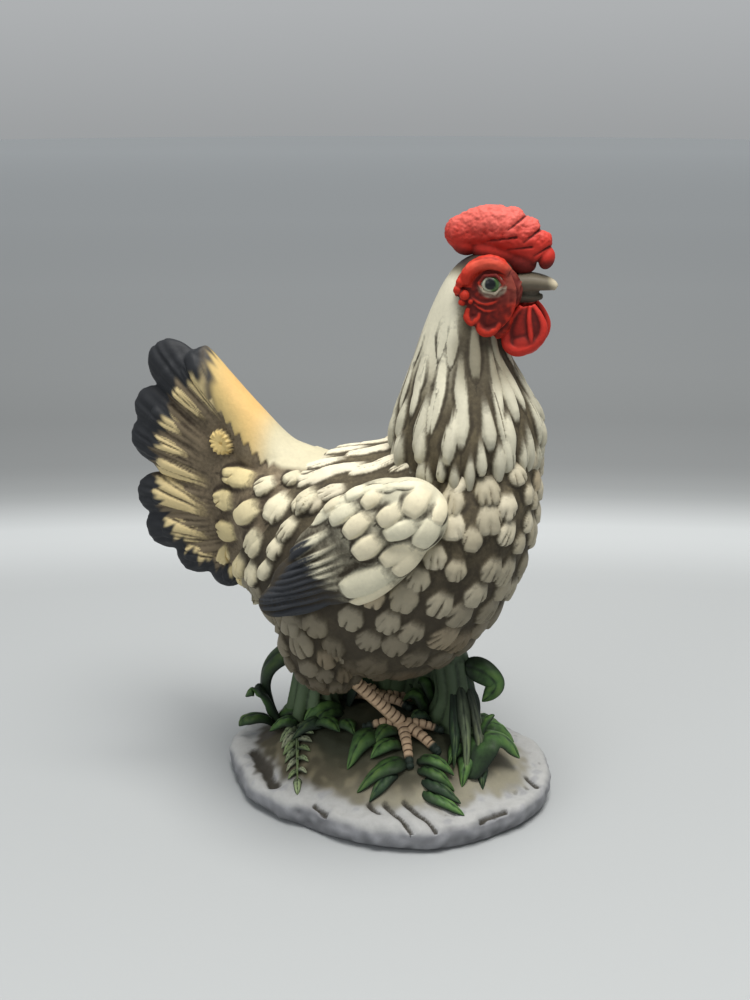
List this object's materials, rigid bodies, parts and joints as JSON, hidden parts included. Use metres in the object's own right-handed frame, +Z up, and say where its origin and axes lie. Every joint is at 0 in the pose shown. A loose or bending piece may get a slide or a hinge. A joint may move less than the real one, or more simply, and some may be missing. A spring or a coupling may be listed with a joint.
{
  "type": "hen figurine",
  "caption": "Matte porcelain hen standing on a rock base with leaf clumps, modelled as a fixed ornament with comb, wattles, folded wings and fanned tail.",
  "frame": {"origin": "middle of the ring under the rock base, on the table", "axes": "+Z up, +X the way the beak points, +Y the hen's left side"},
  "size_m": [0.1492, 0.086, 0.1998],
  "materials": {
    "painted_bisque": "matte",
    "tail_paint": "matte",
    "red_paint": "matte",
    "beak_paint": "matte",
    "eye_paint": "satin",
    "leg_paint": "matte",
    "rock_paint": "matte",
    "stalk_paint": "matte",
    "fern_paint": "matte",
    "leaf_paint": "matte"
  },
  "bodies": {
    "root": {"body_shell": "painted_bisque", "neck_head_shell": "painted_bisque", "comb": "red_paint", "beak": "beak_paint", "face_right": "red_paint", "face_left": "red_paint", "eye_right": "eye_paint", "eye_left": "eye_paint", "wattle_right": "red_paint", "wattle_left": "red_paint", "wing_right": "painted_bisque", "wing_left": "painted_bisque", "tail_fan": "tail_paint", "thigh_right": "painted_bisque", "thigh_left": "painted_bisque", "shank_right": "leg_paint", "shank_left": "leg_paint", "foot_right": "leg_paint", "foot_left": "leg_paint", "rock_base": "rock_paint", "front_prop": "stalk_paint", "rear_prop": "stalk_paint", "rear_curled_leaf": "leaf_paint", "front_tall_leaf": "leaf_paint", "front_broad_leaf": "leaf_paint", "fern_sprig": "fern_paint", "leaves_1": "leaf_paint", "leaves_2": "leaf_paint", "leaves_3": "leaf_paint", "leaves_4": "leaf_paint", "leaves_5": "leaf_paint", "leaves_6": "leaf_paint", "leaves_7": "leaf_paint", "leaves_8": "leaf_paint", "leaves_9": "leaf_paint", "leaves_10": "leaf_paint", "leaves_11": "leaf_paint", "leaves_12": "leaf_paint"}
  },
  "joints": []
}
